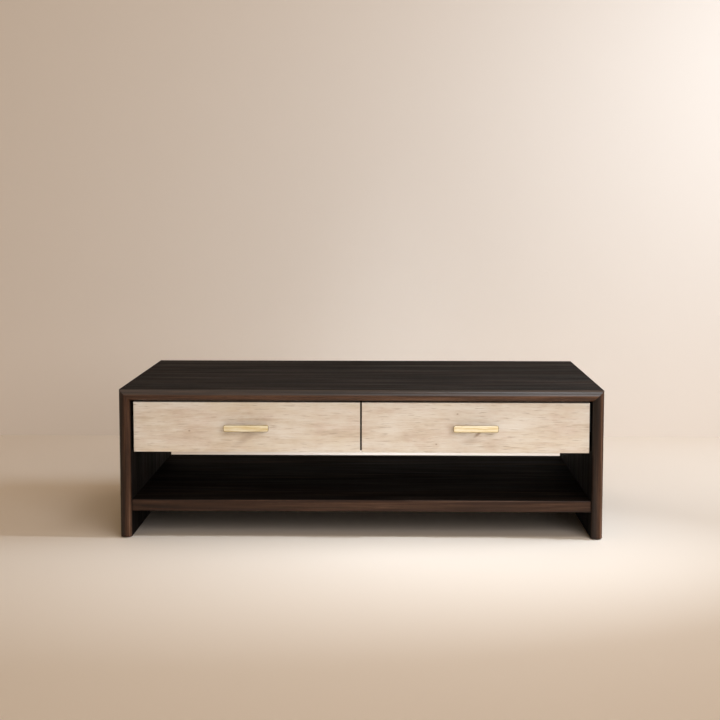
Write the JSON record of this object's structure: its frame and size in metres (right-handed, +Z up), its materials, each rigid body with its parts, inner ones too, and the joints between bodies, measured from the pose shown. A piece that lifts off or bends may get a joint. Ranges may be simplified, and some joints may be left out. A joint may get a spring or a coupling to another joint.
{
  "type": "coffee table with drawers",
  "caption": "Low dark wood coffee table: mitred top and sides with rounded edges, pale limed drawer fronts on ball-bearing runners, brass bar pulls and an open shelf.",
  "frame": {"origin": "On the floor under the middle of the frame's footprint. The pulls stand 11 mm in front of the frame, so the middle of the whole box lies 5.5 mm further forward.", "axes": "+X to the right along the length, +Y to the rear, so the drawer fronts face -Y, +Z up"},
  "size_m": [1.4, 0.851, 0.435],
  "materials": {
    "dark_wood": "espresso stain under satin lacquer",
    "pale_wood": "limed and matt lacquered",
    "drawer_box_wood": "clear matt lacquer",
    "beech": "bare",
    "brass": "satin brushed",
    "zinc_steel": "black zinc plated",
    "nylon": "moulded dark",
    "bumper_rubber": "soft translucent"
  },
  "bodies": {
    "case": {"back_panel": "dark_wood", "bay_floor": "dark_wood", "carcass_dowels": "beech", "centre_divider": "dark_wood", "glides": "nylon", "left_bay_left_rail": "zinc_steel", "left_bay_right_rail": "zinc_steel", "left_front_lipping": "dark_wood", "left_rear_lipping": "dark_wood", "left_side_panel": "dark_wood", "mitre_splines": "beech", "rail_screws": "zinc_steel", "right_bay_left_rail": "zinc_steel", "right_bay_right_rail": "zinc_steel", "right_front_lipping": "dark_wood", "right_rear_lipping": "dark_wood", "right_side_panel": "dark_wood", "shelf_dowels": "beech", "shelf_front_lipping": "dark_wood", "shelf_panel": "dark_wood", "shelf_rear_lipping": "dark_wood", "top_front_lipping": "dark_wood", "top_panel": "dark_wood", "top_rear_lipping": "dark_wood"},
    "left_sliders": {"left_bay_left_slider": "zinc_steel", "left_bay_right_slider": "zinc_steel"},
    "left_drawer": {"left_bumpers": "bumper_rubber", "left_drawer_back": "drawer_box_wood", "left_drawer_bottom": "drawer_box_wood", "left_drawer_box_front": "drawer_box_wood", "left_drawer_front": "pale_wood", "left_drawer_left_runner": "zinc_steel", "left_drawer_left_side": "drawer_box_wood", "left_drawer_right_runner": "zinc_steel", "left_drawer_right_side": "drawer_box_wood", "left_front_screws": "zinc_steel", "left_pull_bar": "brass", "left_pull_posts": "brass", "left_pull_screws": "zinc_steel", "left_runner_screws": "zinc_steel"},
    "left_inner_cages": {"left_inner_ball_cages": "zinc_steel"},
    "left_outer_cages": {"left_outer_ball_cages": "zinc_steel"},
    "right_sliders": {"right_bay_left_slider": "zinc_steel", "right_bay_right_slider": "zinc_steel"},
    "right_drawer": {"right_bumpers": "bumper_rubber", "right_drawer_back": "drawer_box_wood", "right_drawer_bottom": "drawer_box_wood", "right_drawer_box_front": "drawer_box_wood", "right_drawer_front": "pale_wood", "right_drawer_left_runner": "zinc_steel", "right_drawer_left_side": "drawer_box_wood", "right_drawer_right_runner": "zinc_steel", "right_drawer_right_side": "drawer_box_wood", "right_front_screws": "zinc_steel", "right_pull_bar": "brass", "right_pull_posts": "brass", "right_pull_screws": "zinc_steel", "right_runner_screws": "zinc_steel"},
    "right_inner_cages": {"right_inner_ball_cages": "zinc_steel"},
    "right_outer_cages": {"right_outer_ball_cages": "zinc_steel"}
  },
  "joints": [
    {"name": "left_drawer_slide", "type": "slide", "parent": "case", "child": "left_drawer", "axis": [0, -1, 0], "range_m": [0, 0.56]},
    {"name": "left_slider_slide", "type": "slide", "parent": "case", "child": "left_sliders", "axis": [0, -1, 0], "range_m": [0, 0.28]},
    {"name": "left_outer_cage_slide", "type": "slide", "parent": "case", "child": "left_outer_cages", "axis": [0, -1, 0], "range_m": [0, 0.14]},
    {"name": "left_inner_cage_slide", "type": "slide", "parent": "case", "child": "left_inner_cages", "axis": [0, -1, 0], "range_m": [0, 0.42]},
    {"name": "right_drawer_slide", "type": "slide", "parent": "case", "child": "right_drawer", "axis": [0, -1, 0], "range_m": [0, 0.56]},
    {"name": "right_slider_slide", "type": "slide", "parent": "case", "child": "right_sliders", "axis": [0, -1, 0], "range_m": [0, 0.28]},
    {"name": "right_outer_cage_slide", "type": "slide", "parent": "case", "child": "right_outer_cages", "axis": [0, -1, 0], "range_m": [0, 0.14]},
    {"name": "right_inner_cage_slide", "type": "slide", "parent": "case", "child": "right_inner_cages", "axis": [0, -1, 0], "range_m": [0, 0.42]}
  ],
  "couplings": [
    {"joint": "left_slider_slide", "follows": "left_drawer_slide", "ratio": 0.5},
    {"joint": "left_outer_cage_slide", "follows": "left_drawer_slide", "ratio": 0.25},
    {"joint": "left_inner_cage_slide", "follows": "left_drawer_slide", "ratio": 0.75},
    {"joint": "right_slider_slide", "follows": "right_drawer_slide", "ratio": 0.5},
    {"joint": "right_outer_cage_slide", "follows": "right_drawer_slide", "ratio": 0.25},
    {"joint": "right_inner_cage_slide", "follows": "right_drawer_slide", "ratio": 0.75}
  ]
}
